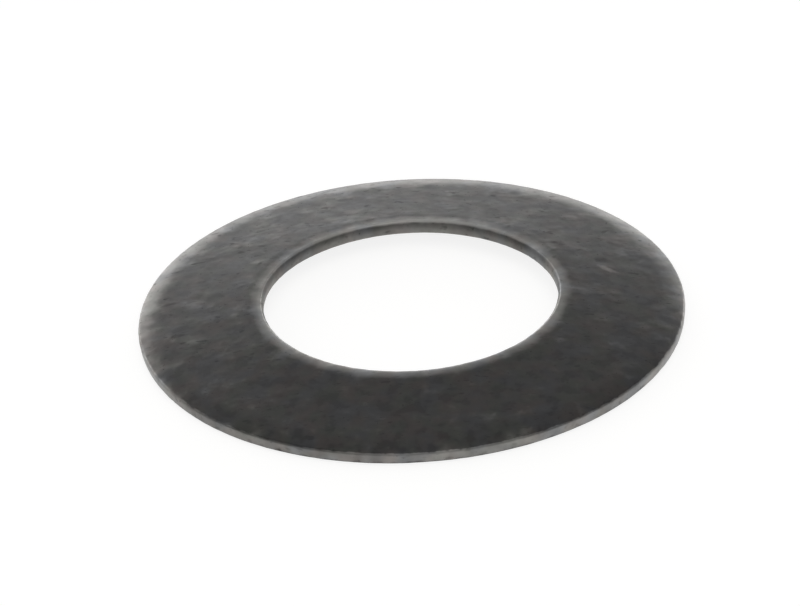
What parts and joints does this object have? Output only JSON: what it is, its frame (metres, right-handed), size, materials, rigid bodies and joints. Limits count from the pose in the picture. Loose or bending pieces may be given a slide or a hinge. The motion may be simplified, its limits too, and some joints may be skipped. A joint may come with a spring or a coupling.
{
  "type": "disc spring",
  "caption": "Shallow conical steel spring washer with rounded stamped edges and a central bore that guides it on a mandrel.",
  "frame": {"origin": "on the spring's axis, at the surface that it lies on", "axes": "+Z along the bore axis, from the hollow side towards the raised rim of the bore; the ring is round, so +X and +Y are any two directions square to it"},
  "size_m": [0.038, 0.038, 0.0021],
  "materials": {
    "blackened_steel": "dark oiled phosphate over rolled spring steel, satin, with edges tumbled smooth"
  },
  "bodies": {
    "root": {"disc_spring": "blackened_steel"}
  },
  "joints": []
}
